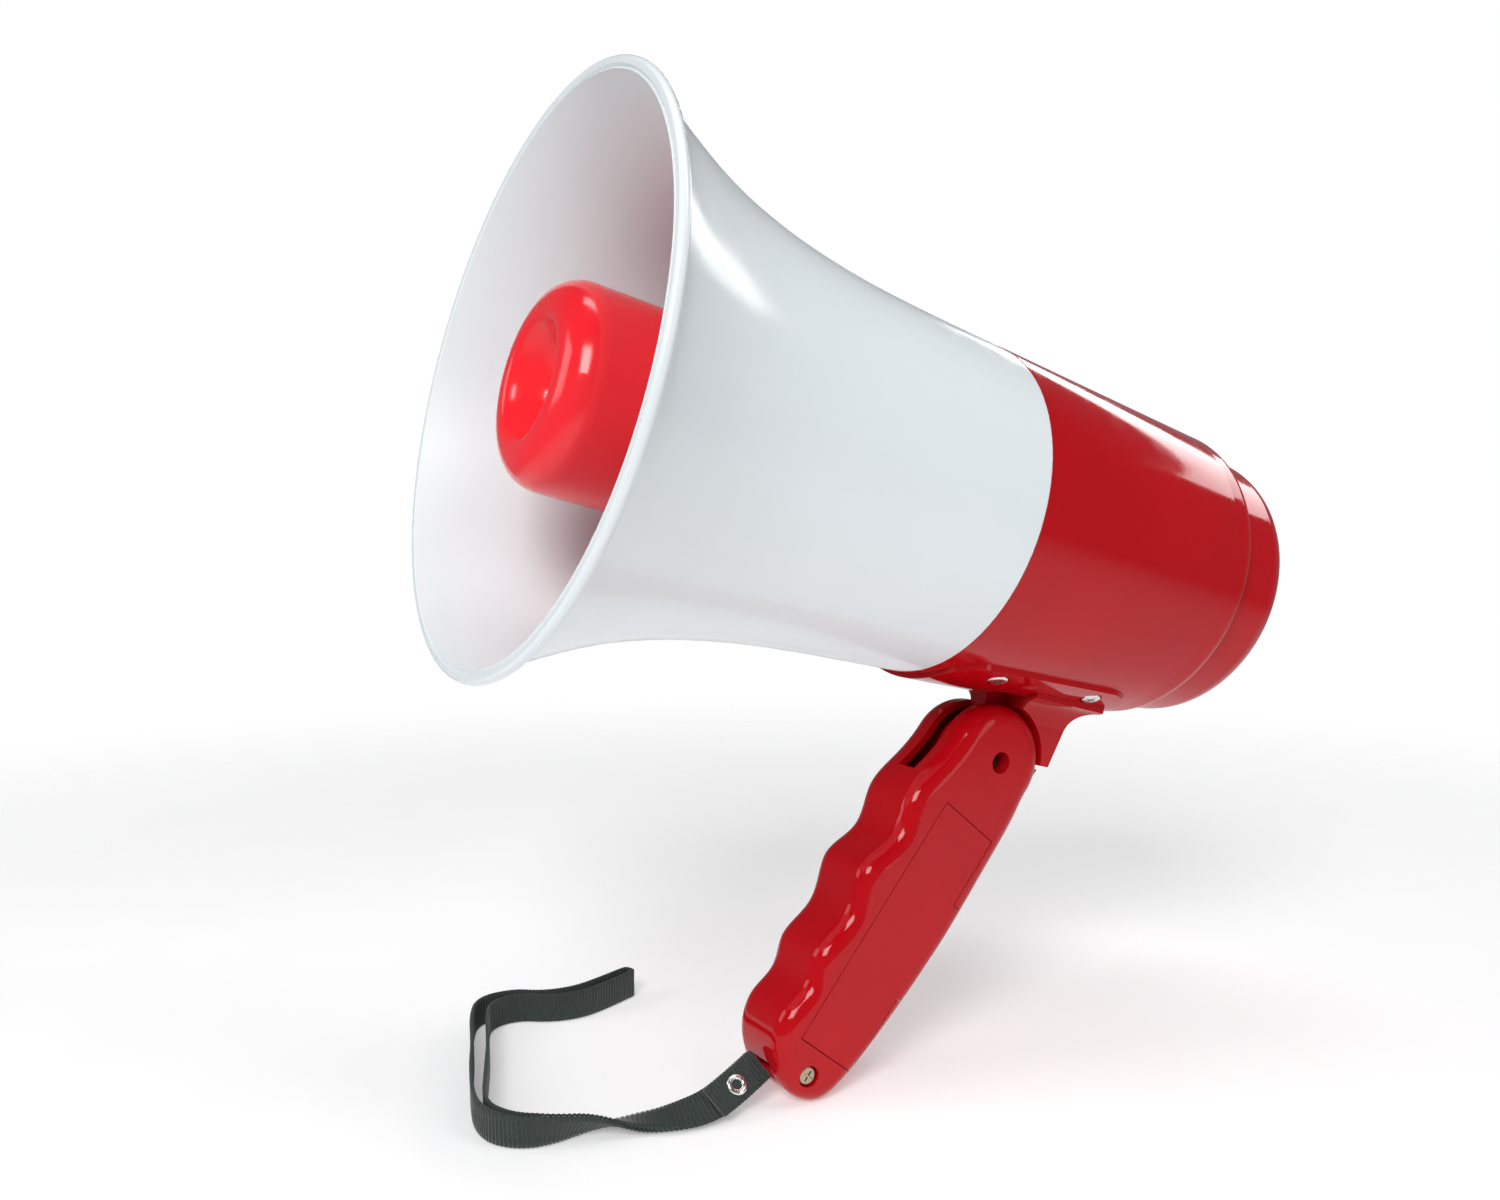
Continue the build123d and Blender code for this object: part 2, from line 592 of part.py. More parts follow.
def make_boss():
    """Block behind the handle's top, flared into the plate, with the stop fin under it."""
    rear = Spline((204.0, -49.5), (197.2, -52.2), (194.0, -57.5), tangents=((-1.0, -0.1), (-0.22, -1.0)))
    rest = Polyline((194.0, -57.5), (191.2, -69.3), (187.6, -69.3), (BOSS_FRONT, -56.0),
                    (BOSS_FRONT, -44.0), (204.0, -44.0), (204.0, -49.5))
    boss = extrude(Plane.YZ * make_face([rear, *rest.edges()]), 20.0, both=True)
    flank = Spline((17.0, -49.0), (12.9, -52.0), (11.6, -57.0), tangents=((-1.0, -0.3), (-0.1, -1.0)))
    half = make_face([flank, *Polyline((11.6, -57.0), (11.0, -70.0), (0.0, -70.0), (0.0, -44.0),
                                       (17.0, -44.0), (17.0, -49.0)).edges()])
    side = Pos(0, 160, 0) * extrude(Plane.XZ * half, -60.0)
    boss &= side + mirror(side, Plane.YZ)
    boss -= rod_x(DOME_RADIUS + DOME_GAP, -20, 20, PIVOT_Y, -PIVOT_DROP)
    return boss - housing_core()


def make_saddle():
    plate = saddle_layer(SADDLE_SUNK - EPS, SADDLE_THICKNESS, 0.0)
    relief = rod_x(FOLD_RELIEF, -20, 20, PIVOT_Y, -PIVOT_DROP)
    plate -= relief & block((-20, 20), (PIVOT_Y - 20, BOSS_FRONT), (-PIVOT_DROP, -45.0))
    cheek = rod_x(13.0, -TONGUE_HALF, TONGUE_HALF, PIVOT_Y, -PIVOT_DROP)
    neck = block((-TONGUE_HALF, TONGUE_HALF), (PIVOT_Y - 3.0, PIVOT_Y + 13.0), (-PIVOT_DROP, -46.0))
    bracket = plate + make_boss() + cheek + (neck - housing_core())
    bracket -= rod_x(BOLT_RADIUS + BORE_CLEARANCE, -20, 20, PIVOT_Y, -PIVOT_DROP)
    for x, station in SADDLE_SCREWS:
        seat = saddle_frame(x, station)
        bracket -= seat * Pos(0, 0, 0.5) * Cylinder(3.5, 3.0)
        bracket -= seat * Cylinder(1.6, 12)
    return bracket - rod_z(3.0, -60.0, -46.0, LEAD_HOLE[0], LEAD_HOLE[1])


def make_saddle_screws():
    screws = []
    for x, station in SADDLE_SCREWS:
        screws.append(saddle_frame(x, station) * Pos(0, 0, -1.0) * pan_screw(3.1, 1.4, 1.3, 7.0))
    return screws


# ---- handle, in the handle frame ----------------------------------------------------------
def handle_point(down, forward):
    """Point of the handle's side view as (y, z) of the handle frame."""
    return (-forward, -down)


def handle_core(inset):
    """Solid of the whole handle, or of its hollow when inset is the wall."""
    line = inward([*HANDLE_FRONT, HANDLE_END, *HANDLE_BACK], inset)
    line[0] = (0.0, DOME_RADIUS - inset)
    line[-1] = (0.0, inset - DOME_RADIUS)
    line = [handle_point(*point) for point in line]
    body = Spline(*line, tangents=((0, -1), (0, 1)))
    dome = ThreePointArc(line[-1], (0.0, DOME_RADIUS - inset), line[0])
    side = make_face([body, dome])
    half = HANDLE_HALF_WIDTH - inset
    solid = extrude(Plane.YZ * side, half, both=True)
    rims = solid.faces().filter_by(Axis.X).edges()
    return fillet(rims, HANDLE_EDGE - inset)


def cover_region(gap):
    """Side-view outline of the battery cover, and of its opening when gap is set."""
    plate = block((6.0, 20.0), (-COVER_FRONT - gap, COVER_BACK + gap), (-COVER_BOTTOM - gap, -COVER_TOP + gap))
    tab = block((3.0, 20.0), (0.0, 30.0), (-COVER_TAB[1] - gap, -COVER_TAB[0] + gap))
    if gap:
        tab += block((3.0 - gap, 20.0), (0.0, 30.0), (-COVER_TAB[1] - gap, -COVER_TAB[0] + gap))
    return plate + tab


def handle_skin():
    """Hollow handle in one piece, with its openings but before it is split."""
    outer = handle_core(0.0)
    ledge = block((-8.0, 8.0), (8.0, -HANDLE_BACK[-2][1] - 0.1), (-6.0, 8.4))
    hollow = handle_core(HANDLE_WALL)
    skin = (outer + ledge) - hollow
    slot_half = TONGUE_HALF + WASHER_THICKNESS
    skin -= block((-slot_half, slot_half), (-30.0, 14.0), (3.0, 30.0))
    skin -= block((-slot_half, slot_half), (-30.0, -8.0), (-17.0, 5.0))
    skin -= block((-5.4, 5.4), STRAP_SLOT, (-125.0, -108.0))
    return skin


def make_shell(side, skin):
    """One half of the handle, side -1 or +1."""
    half = skin & block((min(0, side * 40), max(0, side * 40)), (-40, 40), (-130, 30))
    boss_face = TONGUE_HALF + WASHER_THICKNESS
    wall = HANDLE_HALF_WIDTH - HANDLE_WALL / 2
    inner, outer = sorted((side * boss_face, side * wall))
    half += rod_x(6.4, inner, outer)
    inner, outer = sorted((0.0, side * wall))
    half += rod_x(3.4, inner, outer, 0.0, -SCREW_DOWN)
    half -= rod_x(BOLT_RADIUS + BORE_CLEARANCE, -20, 20)
    if side > 0:
        half -= rod_x(3.4, BOLT_SEAT, 20)
        half -= rod_x(3.2, SCREW_SEAT, 20, 0.0, -SCREW_DOWN)
        half -= rod_x(1.6, -1, 20, 0.0, -SCREW_DOWN)
        half -= cover_region(COVER_GAP)
    else:
        half -= Pos(-BOLT_SEAT - 6, 0, 0) * Rot(0, 90, 0) * extrude(RegularPolygon(3.7, 6), 6, both=True)
        half -= rod_x(1.2, -9.0, 1, 0.0, -SCREW_DOWN)
    half -= rod_x(PIN_RADIUS, -PIN_HALF, PIN_HALF, *STRAP_PIN)
    return half


BOLT_SEAT = 6.0             # |x| where the pivot bolt's head and nut sit
SCREW_DOWN = 110.4          # closing screw, down the handle from the pivot
SCREW_SEAT = 10.6
STRAP_SLOT = (-9.0, -3.5)   # y limits of the strap's way out of the handle's end
STRAP_PIN = (-6.2, -106.5)  # (y, z) of the bar that the wrist strap loops round
PIN_RADIUS = 1.25
PIN_HALF = 11.6
ANCHOR_DROP = 6.6           # webbing below the pin


def make_battery_cover(skin):
    cover = skin & cover_region(0.0)
    grip = Pos(HANDLE_HALF_WIDTH - 2.2, 17.6, -60.5) * Rot(0, 0, 35) * Box(4.0, 2.2, 22.0)
    cover = cover - grip
    latch = block((9.2, 11.4), (-3.0, 3.0), (-COVER_TOP - 3.0, -COVER_TOP - 0.6))
    hook = block((9.2, 11.4), (-3.0, 3.0), (-COVER_BOTTOM + 0.6, -COVER_BOTTOM + 3.0))
    return cover + latch + hook


def make_pivot_bolt():
    head = rod_x(3.3, BOLT_SEAT, BOLT_SEAT + 2.4)
    head = fillet(head.edges().filter_by(GeomType.CIRCLE).sort_by(Axis.X)[-1], 1.0)
    head -= Pos(BOLT_SEAT + 2.45, 0, 0) * Rot(0, 90, 0) * recess_cross(1.5, 1.4)
    return head + rod_x(BOLT_RADIUS, -BOLT_SEAT - 3.4, BOLT_SEAT + 0.5)


def make_pivot_nut():
    nut = Pos(-BOLT_SEAT - 1.5, 0, 0) * Rot(0, 90, 0) * extrude(RegularPolygon(3.6, 6), 1.5, both=True)
    return nut - rod_x(BOLT_RADIUS, -20, 0)


def make_pivot_washers():
    inner = TONGUE_HALF + 0.02
    outer = TONGUE_HALF + WASHER_THICKNESS - 0.02
    washers = []
    for side in (-1, 1):
        low, high = sorted((side * inner, side * outer))
        washers.append(rod_x(5.6, low, high) - rod_x(BOLT_RADIUS + 0.1, -20, 20))
    return washers


def make_handle_screw():
    screw = pan_screw(3.0, 1.7, 1.2, 18.0)
    return Pos(SCREW_SEAT, 0, -SCREW_DOWN) * Rot(0, 90, 0) * screw


def make_strap_pin():
    return rod_x(PIN_RADIUS, -PIN_HALF, PIN_HALF, *STRAP_PIN)


def make_strap_anchor():
    """Webbing that passes round the pin, with both ends pointing out of the handle."""
    radius = PIN_RADIUS + 0.1 + STRAP_THICKNESS / 2
    bend = Circle(radius + STRAP_THICKNESS / 2) - Circle(radius - STRAP_THICKNESS / 2)
    bend &= Pos(0, 20) * Rectangle(80, 40)
    side = bend
    for y in (-radius, radius):
        side += Pos(y, -ANCHOR_DROP / 2) * Rectangle(STRAP_THICKNESS, ANCHOR_DROP)
    y, z = STRAP_PIN
    return Pos(0, y, z) * extrude(Plane.YZ * side, STRAP_WIDTH / 2, both=True)


def make_battery_tray():
    outer_radius = CELL_RADIUS + 1.1
    top = -CELL_TOP + 3.6
    bottom = -CELL_TOP - CELL_LENGTH - 5.6
    trough = Pos(0, CELL_BACK, (top + bottom) / 2) * Cylinder(outer_radius, top - bottom)
    trough -= Pos(0, CELL_BACK, (top + bottom) / 2) * Cylinder(CELL_RADIUS + 0.2, top - bottom - 2.4)
    return trough & block((-20.0, 2.0), (-20.0, 20.0), (bottom, top))


def make_battery_cell():
    middle = -CELL_TOP - CELL_LENGTH / 2
    can = Pos(0, CELL_BACK, middle) * Cylinder(CELL_RADIUS, CELL_LENGTH)
    can = fillet(can.edges().filter_by(GeomType.CIRCLE), 0.8)
    return can + Pos(0, CELL_BACK, -CELL_TOP + 0.4) * Cylinder(3.0, 1.2)


def make_contact_plate():
    z = -CELL_TOP + 1.0 + EPS
    return block((-4.0, 4.0), (CELL_BACK - 4.0, CELL_BACK + 4.0), (z, z + 0.5))


def make_contact_spring():
    """Folded leaf spring under the cell."""
    top = -CELL_TOP - CELL_LENGTH - EPS
    line = Polyline((-5.0, top - 4.0), (5.0, top - 4.0), (-4.0, top - 2.2), (4.0, top - 0.25))
    strip = trace(line, line_width=0.4)
    return extrude(Plane.XZ.offset(-CELL_BACK - 3.0) * strip, 6.0)


# ---- wrist strap, in the row frame --------------------------------------------------------
# The webbing stands on its edge on the ground. Both legs leave the handle side by side, run
# forward, turn across and come back to the fold at the end of the loop.
OUTER_LEG = [(1.6, -48.7, 9.6), (4.4, -56.0, 7.4), (6.8, -66.2, 5.2), (5.0, -76.6, 5.1),
             (0.4, -86.6, 5.1), (-1.8, -98.2, 5.1), (-1.2, -110.8, 5.1), (-7.0, -121.8, 5.1),
             (-19.2, -126.0, 5.1), (-41.0, -119.8, 5.1), (-63.0, -111.6, 5.1),
             (-81.0, -106.2, 5.1), (-95.6, -99.0, 5.1), (-96.6, -86.0, 5.1), (-90.0, -78.2, 5.1),
             (-88.2, -67.6, 5.1), (-91.6, -56.6, 5.1), (-96.0, -46.0, 5.1)]
INNER_LEG = [(-0.3, -49.1, 9.6), (2.4, -56.2, 7.4), (4.6, -66.0, 5.2), (2.8, -75.4, 5.1),
             (-2.2, -85.4, 5.1), (-4.4, -97.6, 5.1), (-4.2, -109.0, 5.1), (-8.6, -118.0, 5.1),
             (-19.0, -121.8, 5.1), (-39.4, -115.0, 5.1), (-61.0, -107.2, 5.1),
             (-78.0, -101.9, 5.1), (-89.8, -96.6, 5.1), (-91.9, -86.0, 5.1), (-85.4, -77.6, 5.1),
             (-83.0, -67.0, 5.1), (-86.4, -56.0, 5.1), (-91.8, -44.6, 5.1)]
TAIL_END = [(3.3, -48.5, 9.7), (6.1, -56.0, 7.5), (8.5, -65.0, 6.4)]
EYELET_AT = (4.3, -56.1, 7.4)
EYELET_TURN = 17.0          # the eyelet's axis from +X towards +Y, degrees
LOOP_GAP = 0.15             # between the legs' ends and the half turn that joins them


def bend_radii(route):
    """Largest arc at each corner that leaves a short straight in every run."""
    radii = []
    for before, corner, after in zip(route, route[1:], route[2:]):
        run_in = Vector(*corner) - Vector(*before)
        run_out = Vector(*after) - Vector(*corner)
        half_turn = radians(run_in.get_angle(run_out)) / 2
        radii.append(0.45 * min(run_in.length, run_out.length) / tan(half_turn))
    return radii


def webbing(route):
    """Flat strap standing on its edge along a route."""
    radii = bend_radii(route)
    path = FilletPolyline(*route, radius=radii)
    forward = path % 0
    side = Vector(0, 0, 1).cross(forward)
    start = Plane(origin=path @ 0, x_dir=side, z_dir=forward)
    strip = sweep(start * Rectangle(STRAP_THICKNESS, STRAP_WIDTH), path=path)
    print("webbing radii", [round(radius, 1) for radius in radii], "length", round(path.length, 1),
          "volume", round(strip.volume, 1), "from", round(path.length * STRAP_WIDTH * STRAP_THICKNESS, 1))
    return strip


def eyelet_frame():
    return Pos(*EYELET_AT) * Rot(0, 0, EYELET_TURN) * Rot(0, 90, 0)


def make_strap():
    hole = eyelet_frame() * Cylinder(2.05, 12.0)
    strips = [webbing(route) - hole for route in (OUTER_LEG, INNER_LEG, TAIL_END)]
    return strips


def make_loop_end():
    """Half turn of webbing that joins the two legs."""
    outer = Vector(*OUTER_LEG[-1])
    inner = Vector(*INNER_LEG[-1])
    across = inner - outer
    radius = across.length / 2
    middle = Plane(origin=(outer + inner) * 0.5, x_dir=across, z_dir=(0, 0, 1))
    half = STRAP_THICKNESS / 2
    fold = Circle(radius + half) - Circle(radius - half)
    fold &= Pos(0, 20) * Rectangle(80, 40)
    return middle * Pos(0, LOOP_GAP, -STRAP_WIDTH / 2) * extrude(fold, STRAP_WIDTH)


def make_eyelet():
    layers = 3.3
    barrel = Cylinder(2.0, 2 * layers) + Pos(0, 0, layers) * Cylinder(3.0, 0.8)
    barrel += Pos(0, 0, -layers) * Cylinder(3.0, 0.8)
    barrel = fillet(barrel.edges().filter_by(GeomType.CIRCLE).filter_by(lambda e: e.radius > 2.9), 0.3)
    return eyelet_frame() * (barrel - Cylinder(1.4, 20.0))


# ---- build --------------------------------------------------------------------------------
def build_strap():
    outer, inner, tail = make_strap()
    return {"strap_outer_leg": outer, "strap_inner_leg": inner, "strap_tail": tail,
            "strap_loop_end": make_loop_end(), "strap_eyelet": make_eyelet()}


def build_horn_side():
    pieces = {}
    pieces["horn_bell"] = make_bell()
    pieces["reflector_cup"] = make_cup()
    pieces["tone_tube"] = make_tone_tube()
    pieces["throat_plate"] = make_throat_plate()
    pieces["throat_gasket"] = make_gasket()
    pieces["driver_frame"] = make_driver_frame()
    pieces["driver_diaphragm"] = make_diaphragm()
    pieces["driver_voice_coil"] = make_voice_coil()
    pieces["driver_top_plate"] = make_top_plate()
    pieces["driver_magnet"] = make_magnet()
    pieces["driver_yoke"] = make_yoke()
    pieces["driver_screws"] = make_driver_screws()
    pieces["housing_shell"] = make_housing()
    pieces["rear_cover"] = make_rear_cover()
    pieces["rear_cover_screws"] = make_cover_screws()
    pieces["control_panel"] = make_panel()
    pieces["mic_grille"] = make_mic_grille()
    pieces["mic_capsule"] = make_mic_capsule()
    pieces["mic_boot"] = make_mic_boot()
    pieces["volume_knob"] = make_volume_knob()
    pieces["volume_shaft"] = make_pot_shaft()
    pieces["volume_potentiometer"] = make_pot_body()
    for name, place in BUTTONS_AT.items():
        pieces[name + "_button"] = make_button(place)
    pieces["button_switches"] = [make_switch(place) for place in BUTTONS_AT.values()]
    pieces["mode_slider"] = make_slider()
    pieces["mode_slide_switch"] = make_slide_switch()
    pieces["charging_jack"] = make_jack()
    pieces["power_led"] = make_led()
    pieces["amplifier_board"] = make_board()
    pieces["heat_sink"] = make_heat_sink()
    pieces["capacitors"] = make_capacitors()
    pieces["output_transformer"] = make_transformer()
    pieces["speaker_wires"] = make_speaker_wires()
    pieces["battery_lead"] = make_battery_lead()
    pieces["saddle_bracket"] = make_saddle()
    pieces["saddle_screws"] = make_saddle_screws()
    return pieces


def build_handle_side():
    pieces = {}
    skin = handle_skin()
    pieces["handle_shell_right"] = make_shell(1, skin)
    pieces["handle_shell_left"] = make_shell(-1, skin)
    pieces["battery_cover"] = make_battery_cover(skin)
    pieces["pivot_bolt"] = make_pivot_bolt()
    pieces["pivot_nut"] = make_pivot_nut()
    pieces["pivot_washers"] = make_pivot_washers()
    pieces["handle_screw"] = make_handle_screw()
    pieces["strap_pin"] = make_strap_pin()
    pieces["strap_anchor_loop"] = make_strap_anchor()
    pieces["battery_tray"] = make_battery_tray()
    pieces["battery_cell"] = make_battery_cell()
    pieces["battery_contact_plate"] = make_contact_plate()
    pieces["battery_contact_spring"] = make_contact_spring()
    return pieces


def as_list(shape):
    return shape if isinstance(shape, list) else [shape]


def moved(shapes, frame):
    return [frame * shape for shape in as_list(shapes)]


def main():
    horn_side = build_horn_side()
    handle_side = build_handle_side()
    tilt = Rot(-HORN_TILT, 0, 0)
    pivot = Pos(0, PIVOT_Y, -PIVOT_DROP) * Rot(-HANDLE_LEAN, 0, 0)
    standing = {name: moved(shapes, tilt) for name, shapes in horn_side.items()}
    standing.update({name: moved(shapes, tilt * pivot) for name, shapes in handle_side.items()})
    box = Compound([solid for shapes in standing.values() for solid in shapes]).bounding_box()
    to_origin = Pos(0, -(box.min.Y + box.max.Y) / 2, -box.min.Z)
    row = {name: moved(shapes, to_origin) for name, shapes in standing.items()}
    row.update({name: as_list(shapes) for name, shapes in build_strap().items()})
    for name, shapes in row.items():
        whole = shapes[0] if len(shapes) == 1 else Compound(shapes)
        export_step(whole, os.path.join("parts", name + ".step"))
    print("mouth centre", to_origin.position, "pivot", (to_origin * tilt * pivot).position)
    print("box", box.size, "lateral", box.min.X, box.max.X)


main()
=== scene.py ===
import math
import bpy
from mathutils import Matrix, Vector


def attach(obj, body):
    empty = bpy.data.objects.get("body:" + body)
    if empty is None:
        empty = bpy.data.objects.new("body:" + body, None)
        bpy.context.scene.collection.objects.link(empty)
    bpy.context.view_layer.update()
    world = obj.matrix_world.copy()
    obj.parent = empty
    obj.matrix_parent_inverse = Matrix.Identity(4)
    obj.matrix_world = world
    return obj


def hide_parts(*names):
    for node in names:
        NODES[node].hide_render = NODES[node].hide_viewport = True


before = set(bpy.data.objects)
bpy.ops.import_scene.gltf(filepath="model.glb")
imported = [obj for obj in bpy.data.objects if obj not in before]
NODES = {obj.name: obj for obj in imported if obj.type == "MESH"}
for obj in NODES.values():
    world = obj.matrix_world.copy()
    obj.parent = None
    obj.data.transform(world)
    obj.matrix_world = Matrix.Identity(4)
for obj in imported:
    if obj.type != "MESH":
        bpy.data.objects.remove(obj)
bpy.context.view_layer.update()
scene = bpy.context.scene
MM = 0.001

# Middle of the mouth and the direction of the horn's axis from there to the rear
MOUTH_CENTRE = (0.0, -0.114479, 0.204702)
HORN_AXIS = (0.0, 0.970296, -0.241922)
LIP_BLEND = 0.02            # how gently the finish changes over the lip


# ---- camera -----------------------------------------------------------------------------
def add_camera():
    """A 31 mm lens beside and in front of the megaphone, level, looking a little down."""
    right = Vector((0.510365, 0.859958, 0.0))
    back = Vector((0.851589, -0.505398, 0.139173))
    data = bpy.data.cameras.new("camera")
    data.sensor_width = 36.0
    data.lens = 31.2
    data.shift_y = 0.064
    data.clip_start = 0.01
    data.clip_end = 50.0
    camera = bpy.data.objects.new("camera", data)
    turn = Matrix((right, back.cross(right), back)).transposed().to_4x4()
    camera.matrix_world = Matrix.Translation((0.31132, -0.23374, 0.17104)) @ turn
    scene.collection.objects.link(camera)
    scene.camera = camera


# ---- materials --------------------------------------------------------------------------
def link(tree, source, output, target, socket):
    tree.links.new(source.outputs[output], target.inputs[socket])


def new_node(tree, kind, **settings):
    node = tree.nodes.new(kind)
    for name, value in settings.items():
        setattr(node, name, value)
    return node


def noise(tree, scale, detail=3.0):
    """Noise in the row frame, with scale as spots per metre."""
    place = new_node(tree, "ShaderNodeTexCoord")
    texture = new_node(tree, "ShaderNodeTexNoise")
    texture.inputs["Scale"].default_value = scale
    texture.inputs["Detail"].default_value = detail
    link(tree, place, "Object", texture, "Vector")
    return texture


def ramp(tree, source, stops, output=0):
    """Colour ramp from one of the source's outputs; stops are (position, colour)."""
    node = new_node(tree, "ShaderNodeValToRGB")
    elements = node.color_ramp.elements
    while len(elements) < len(stops):
        elements.new(0.5)
    for element, (position, colour) in zip(elements, stops):
        element.position = position
        element.color = (*colour, 1.0)
    link(tree, source, output, node, "Fac")
    return node


def span(tree, source, low, high):
    """Map the source's middle range on to low to high."""
    node = new_node(tree, "ShaderNodeMapRange")
    node.inputs["From Min"].default_value = 0.3
    node.inputs["From Max"].default_value = 0.7
    node.inputs["To Min"].default_value = low
    node.inputs["To Max"].default_value = high
    link(tree, source, "Fac", node, "Value")
    return node


def shade(colour, factor):
    return tuple(min(1.0, channel * factor) for channel in colour)


def surface(name, colour, rough=(0.1, 0.2), metallic=0.0, grain=0.0, grain_scale=900.0, vary=0.06, coat=0.0,
            specular=0.5):
    """Moulded plastic, rubber or metal with uneven colour, uneven gloss and fine relief."""
    material = bpy.data.materials.new(name)
    material.use_nodes = True
    tree = material.node_tree
    shader = tree.nodes["Principled BSDF"]
    shader.inputs["Metallic"].default_value = metallic
    shader.inputs["Specular IOR Level"].default_value = specular
    shader.inputs["Coat Weight"].default_value = coat
    shader.inputs["Coat Roughness"].default_value = 0.03
    broad = noise(tree, 22.0)
    tint = ramp(tree, broad, [(0.3, shade(colour, 1.0 - vary)), (0.7, shade(colour, 1.0 + vary))])
    link(tree, tint, "Color", shader, "Base Color")
    link(tree, span(tree, noise(tree, 160.0), *rough), "Result", shader, "Roughness")
    bump = new_node(tree, "ShaderNodeBump")
    bump.inputs["Strength"].default_value = 0.25
    bump.inputs["Distance"].default_value = grain * MM
    link(tree, noise(tree, grain_scale, 2.0), "Fac", bump, "Height")
    link(tree, bump, "Normal", shader, "Normal")
    return material


def vector_step(tree, operation, first, second):
    """Vector maths on two inputs, each a (node, output) pair or a fixed vector."""
    node = new_node(tree, "ShaderNodeVectorMath", operation=operation)
    for socket, given in zip(node.inputs, (first, second)):
        if isinstance(given[0], bpy.types.Node):
            tree.links.new(given[0].outputs[given[1]], socket)
        else:
            socket.default_value = given
    return node


def inner_wall(tree):
    """Node that gives 1 where the horn's wall faces its axis and 0 outside."""
    place = new_node(tree, "ShaderNodeTexCoord")
    reach = vector_step(tree, "SUBTRACT", (place, "Object"), MOUTH_CENTRE)
    along = vector_step(tree, "DOT_PRODUCT", (reach, "Vector"), HORN_AXIS)
    axial = new_node(tree, "ShaderNodeVectorMath", operation="SCALE")
    axial.inputs[0].default_value = HORN_AXIS
    link(tree, along, "Value", axial, "Scale")
    radial = vector_step(tree, "SUBTRACT", (reach, "Vector"), (axial, "Vector"))
    facing = vector_step(tree, "DOT_PRODUCT", (place, "Normal"), (radial, "Vector"))
    inside = new_node(tree, "ShaderNodeMapRange")
    inside.inputs["From Min"].default_value = LIP_BLEND
    inside.inputs["From Max"].default_value = -LIP_BLEND
    link(tree, facing, "Value", inside, "Value")
    return inside


def satin_inside(material, rough):
    """Give the horn's inner wall its own, duller finish."""
    tree = material.node_tree
    shader = tree.nodes["Principled BSDF"]
    outside = shader.inputs["Roughness"].links[0].from_socket
    choose = new_node(tree, "ShaderNodeMix")
    tree.links.new(outside, choose.inputs["A"])
    choose.inputs["B"].default_value = rough
    link(tree, inner_wall(tree), "Result", choose, "Factor")
    link(tree, choose, "Result", shader, "Roughness")


SHELL_RED = surface("shell_red_plastic", (0.45, 0.002, 0.006), (0.05, 0.11), grain=0.015, specular=0.26)
CUP_RED = surface("cup_red_plastic", (0.90, 0.020, 0.030), (0.12, 0.20), grain=0.015, coat=0.05,
                  specular=0.4)
HORN_WHITE = surface("horn_white_plastic", (0.785, 0.84, 0.855), (0.12, 0.2), grain=0.015, vary=0.01,
                     specular=0.4)
satin_inside(HORN_WHITE, 0.42)
BLACK_PLASTIC = surface("black_plastic", (0.018, 0.018, 0.02), (0.38, 0.5), grain=0.08, grain_scale=2500.0)
BLACK_RUBBER = surface("black_rubber", (0.02, 0.02, 0.021), (0.6, 0.75), grain=0.05, grain_scale=1800.0)
GREY_RUBBER = surface("grey_rubber", (0.16, 0.165, 0.175), (0.5, 0.62), grain=0.05, grain_scale=1800.0)
RED_RUBBER = surface("red_rubber", (0.5, 0.02, 0.02), (0.5, 0.62), grain=0.05, grain_scale=1800.0)
FILM = surface("diaphragm_film", (0.45, 0.30, 0.12), (0.3, 0.4), grain=0.03)
COPPER = surface("copper", (0.72, 0.36, 0.2), (0.25, 0.4), metallic=1.0, grain=0.03)
ZINC = surface("zinc_plated_steel", (0.52, 0.52, 0.53), (0.28, 0.42), metallic=1.0, grain=0.03)
BRIGHT = surface("bright_screw_steel", (0.72, 0.71, 0.68), (0.12, 0.26), metallic=1.0, grain=0.02)
YELLOW_ZINC = surface("passivated_screw_steel", (0.42, 0.36, 0.26), (0.2, 0.36), metallic=1.0, grain=0.02)
DARK_STEEL = surface("dark_screw_steel", (0.10, 0.10, 0.10), (0.3, 0.45), metallic=1.0, grain=0.03)
NICKEL = surface("nickel_plate", (0.78, 0.76, 0.72), (0.08, 0.2), metallic=1.0, grain=0.02)
ALUMINIUM = surface("aluminium", (0.7, 0.7, 0.72), (0.25, 0.4), metallic=1.0, grain=0.04)
FERRITE = surface("ferrite", (0.03, 0.03, 0.032), (0.55, 0.7), grain=0.1)
BOARD = surface("circuit_board", (0.01, 0.10, 0.04), (0.25, 0.35), grain=0.03)
LED_GREEN = surface("lamp_green", (0.05, 0.5, 0.12), (0.08, 0.14))
WIRE_RED = surface("wire_red", (0.5, 0.01, 0.01), (0.35, 0.5))
WIRE_BLACK = surface("wire_black", (0.015, 0.015, 0.015), (0.35, 0.5))
CELL_BLUE = surface("cell_wrap", (0.02, 0.12, 0.35), (0.2, 0.3))

